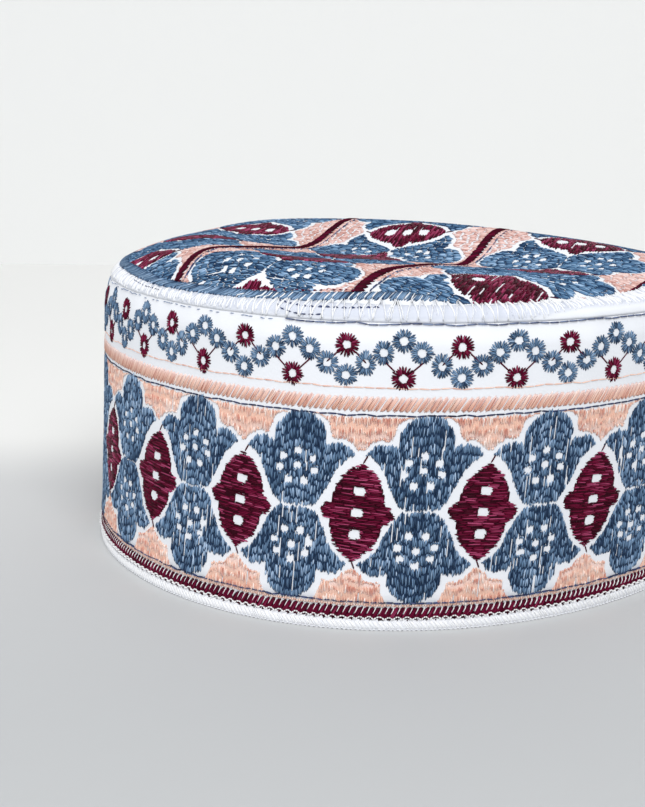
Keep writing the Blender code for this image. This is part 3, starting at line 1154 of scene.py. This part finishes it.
def thread_material(name, colors, roughness, shine, end_shade, side_shade, lower_color=None):
    """Embroidery thread: its colour follows each stitch's tone, darkened by painted shade.

    colors are the dark, the middle and the light one, and lower_color is that of the lower end."""
    material, tree, shader = shader_tree(name)
    calc = functools.partial(math_node, tree)
    reach = attribute_value(tree, "reach")
    # Painted shade: darker at both ends of a stitch, where it goes into the cloth
    off_middle = calc("ABSOLUTE", calc("SUBTRACT", reach, 0.5), 0.0)
    ends = calc("POWER", calc("MULTIPLY", off_middle, 2.0), 3.0)
    # Painted shade: darker towards the lower end, lighter towards the upper end
    fall = calc("MULTIPLY", calc("SUBTRACT", reach, 0.4), end_shade * 0.6)
    shade = calc("ADD", calc("MULTIPLY", ends, end_shade), fall)
    # Painted shade: a dark line along the thread's middle and darker sides, between its strands
    edge = attribute_value(tree, "edge")
    groove_shade = calc("MAXIMUM", calc("SUBTRACT", 0.2, edge), 0.0)
    side = calc("MULTIPLY", calc("POWER", edge, 2.0), side_shade)
    for darker in (groove_shade, side):
        shade = calc("ADD", shade, darker)
    tone = calc("SUBTRACT", attribute_value(tree, "tone"), shade)
    color = ramp_color(tree, tone, list(zip((0.05, 0.5, 0.95), colors)))
    if lower_color:
        low = calc("MULTIPLY", calc("POWER", reach, 3.0), 0.75)
        color = mix_node(tree, low, color, (*lower_color, 1))
    set_inputs(tree, shader, {"Base Color": color, "Roughness": roughness, "Specular IOR Level": shine})
    return material


def cloth_material(name, color, shaded=None):
    """White cotton with a fine plain weave, in the painted shade colour shaded where the mesh's shade is one.
    """
    material, tree, shader = shader_tree(name)
    place = add_node(tree, "TexCoord", "Object", {})
    broad = add_node(tree, "TexNoise", "Fac", {"Vector": place, "Scale": 60})
    weave = add_node(tree, "TexNoise", "Fac", {"Vector": place, "Scale": 1400, "Detail": 2})
    cloth = mix_node(tree, broad, (*color, 1), (*[value * 0.93 for value in color], 1))
    if shaded:
        cloth = mix_node(tree, attribute_value(tree, "shade"), cloth, (*shaded, 1))
    normal = add_node(tree, "Bump", "Normal", {"Strength": 0.25, "Distance": 0.0002, "Height": weave})
    set_inputs(tree, shader, {"Base Color": cloth, "Normal": normal, "Roughness": 0.85})
    return material


def add_camera():
    """Camera at the photo's place."""
    data = bpy.data.cameras.new("camera")
    data.lens = CAMERA_LENS
    data.sensor_width = CAMERA_SENSOR
    data.clip_start = 0.01
    camera = add_object("camera", data)
    turn = Matrix.Rotation(-CAMERA_YAW, 4, "Z") @ Matrix.Rotation(math.pi / 2 - CAMERA_PITCH, 4, "X")
    turn = turn @ Matrix.Rotation(CAMERA_ROLL, 4, "Z")
    camera.matrix_world = Matrix.Translation(Vector(CAMERA_PLACE) * MM) @ turn
    bpy.context.scene.camera = camera


def stage_piece(name, near, far, color):
    """Flat rectangle of the stage between two edges, given by y and z.

    color is one grey, or the greys at depths behind the cap, which paint light on the floor."""
    corners = [(-STAGE_HALF, *near), (STAGE_HALF, *near), (STAGE_HALF, *far), (-STAGE_HALF, *far)]
    material, tree, shader = shader_tree(name)
    if isinstance(color, dict):
        place = add_node(tree, "TexCoord", "Object", {})
        depth = add_node(tree, "SeparateXYZ", "Y", {"Vector": place})
        limits = {"From Min": FLOOR_NEAR, "From Max": FLOOR_BACK}
        reach = add_node(tree, "MapRange", "Result", {"Value": depth, **limits})
        stops = [((y - FLOOR_NEAR) / (FLOOR_BACK - FLOOR_NEAR), grey) for y, grey in color.items()]
        color = ramp_color(tree, reach, stops, "EASE")
    else:
        color = (*color, 1)
    set_inputs(tree, shader, {"Base Color": color, "Roughness": 0.7, "Specular IOR Level": 0.2})
    mesh = bpy.data.meshes.new(name)
    mesh.from_pydata(corners, [], [(0, 1, 2, 3)])
    add_object(name, mesh, material)


def add_lights():
    """Soft studio light: the world and square lamps turned to the cap."""
    scene = bpy.context.scene
    scene.world = bpy.data.worlds.new("studio")
    scene.world.use_nodes = True
    tree = scene.world.node_tree
    set_inputs(tree, tree.nodes["Background"], {"Color": (*WORLD_COLOR, 1), "Strength": WORLD_STRENGTH})
    for name, (place, size, power) in LAMPS.items():
        data = bpy.data.lights.new(name, "AREA")
        data.size = size
        data.energy = power
        lamp = add_object(name, data)
        turn = (Vector(LIGHT_TARGET) - Vector(place)).to_track_quat("-Z", "Y").to_matrix().to_4x4()
        lamp.matrix_world = Matrix.Translation(Vector(place)) @ turn
    scene.view_settings.view_transform = "Standard"


# Dark, middle and light colour of a thread, its roughness and shine, how far painted shade darkens
# it at its ends and lower part and at its sides, and the colour of its lower end where that differs
THREAD_LOOKS = {
    "blue": ([(0.018, 0.044, 0.10), (0.162, 0.278, 0.44), (0.48, 0.62, 0.80)], 0.4, 0.22, 0.45, 0.5),
    "crown_blue": ([(0.013, 0.04, 0.10), (0.11, 0.228, 0.39), (0.40, 0.57, 0.78)], 0.5, 0.1, 0.45, 0.6),
    "burgundy": ([(0.04, 0.0005, 0.008), (0.165, 0.0015, 0.032), (0.44, 0.07, 0.17)], 0.45, 0.12, 0.3, 0.4),
    "peach": ([(0.66, 0.28, 0.21), (0.91, 0.60, 0.47), (1.0, 0.88, 0.82)], 0.5, 0.25, 0.12, 0.15,
              (1.0, 0.92, 0.91)),
    "crown_peach": ([(0.55, 0.28, 0.24), (0.80, 0.54, 0.49), (0.96, 0.80, 0.77)], 0.5, 0.15, 0.1, 0.1),
    "white": ([(0.50, 0.53, 0.63), (0.88, 0.90, 0.95), (0.98, 0.985, 0.99)], 0.5, 0.3, 0.2, 0.15),
    "navy": ([(0.006, 0.008, 0.03), (0.04, 0.055, 0.15), (0.26, 0.33, 0.50)], 0.5, 0.2, 0.6, 0.0),
}
# Pieces of thread, named after their makers, in the order of their random draws: maker, face,
# thread, tapers and inner rings
BAND_PIECES = [
    (band_almonds, wall_place, "burgundy"),
    (band_peach_ground, wall_place, "peach"),
    (band_rope, wall_place, "burgundy"),
    (band_lines, wall_place, "navy"),
    (blue_rings, wall_place, "blue", SPIKE_TAPERS),
    (burgundy_rings, wall_place, "burgundy", SPIKE_TAPERS),
    (hem_overlock, wall_place, "white"),
    (seam_overlock, wall_place, "white", TAPERS, 3),
    (crown_border, wall_place, "blue", TAPERS, 1),
]
BORDER_PIECES = [
    (border_overlock, wall_place, "white", TAPERS, 1),
    (border_line, crown_place, "burgundy"),
]
# The crown's pieces from its strips, and their threads
STRIP_PIECES = {"crown_flowers": "crown_blue", "crown_peach_ground": "crown_peach",
                "crown_almonds": "burgundy", "crown_lines": "navy"}


def build_pieces(rng, pieces, materials):
    """Pieces of thread from a table."""
    for maker, place, key, *build in pieces:
        threads = Threads()
        maker(rng, threads)
        build_threads(maker.__name__, threads, place, materials[key], *build)


def build_cap():
    """All the pieces of the cap."""
    cotton = cloth_material("white_cotton", (0.86, 0.88, 0.92))
    build_band_cloth(cotton)
    # The seam's cloth takes painted shade under the overlock
    build_seam_cloth(cloth_material("seam_cotton_painted_shade", (0.85, 0.87, 0.91), (0.62, 0.65, 0.73)))
    # The hem's cotton is lighter than the band's: painted light at the cap's foot
    build_hem_cloth(cloth_material("hem_cotton_painted_light", (0.90, 0.91, 0.95)))
    build_crown_cloth(cotton)
    materials = {key: thread_material(key + "_thread", *looks) for key, looks in THREAD_LOOKS.items()}
    for quarter in range(4):
        threads = Threads()
        band_flowers(np.random.default_rng(SEED + quarter), threads, quarter)
        build_threads(f"band_flowers_{quarter + 1}", threads, wall_place, materials["blue"])
    rng = np.random.default_rng(SEED + 10)
    build_pieces(rng, BAND_PIECES, materials)
    strips = crown_strips(rng)
    build_pieces(rng, BORDER_PIECES, materials)
    for (name, key), threads in zip(STRIP_PIECES.items(), strips):
        trim(threads)
        build_threads(name, threads, crown_place, materials[key])


build_cap()
stage_piece("floor", (-STAGE_HALF, 0), (FLOOR_BACK, 0), FLOOR_GREYS)
stage_piece("wall", (FLOOR_BACK, 0), (FLOOR_BACK, WALL_HEIGHT), WALL_GREY)
add_lights()
add_camera()
